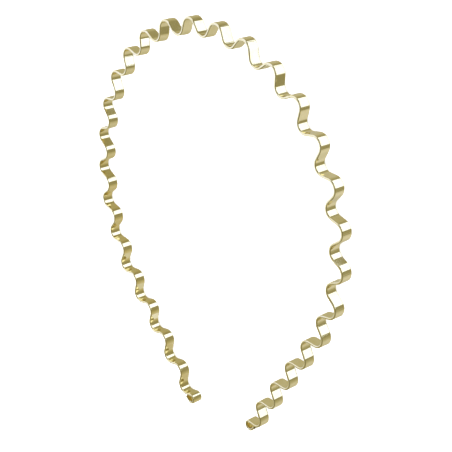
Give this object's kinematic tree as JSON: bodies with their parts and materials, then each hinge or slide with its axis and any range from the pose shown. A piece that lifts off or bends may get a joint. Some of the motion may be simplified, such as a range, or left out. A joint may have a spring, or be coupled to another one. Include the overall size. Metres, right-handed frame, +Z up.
{
  "type": "headband",
  "caption": "One-piece metal headband bent from a narrow flat strip into an even wave round an open loop, with a small closed eye at each end.",
  "frame": {"origin": "middle of the outline in X and Y, on the surface that the band's lower edge lies on", "axes": "+Z up from the surface, along the strip's width; +Y from the open end towards the crown; +X to the right across the loop, seen from above"},
  "size_m": [0.1256, 0.1409, 0.0039],
  "materials": {
    "gold_metal": "polished pale gold plating over spring steel"
  },
  "bodies": {
    "root": {"wave_band": "gold_metal"}
  },
  "joints": []
}
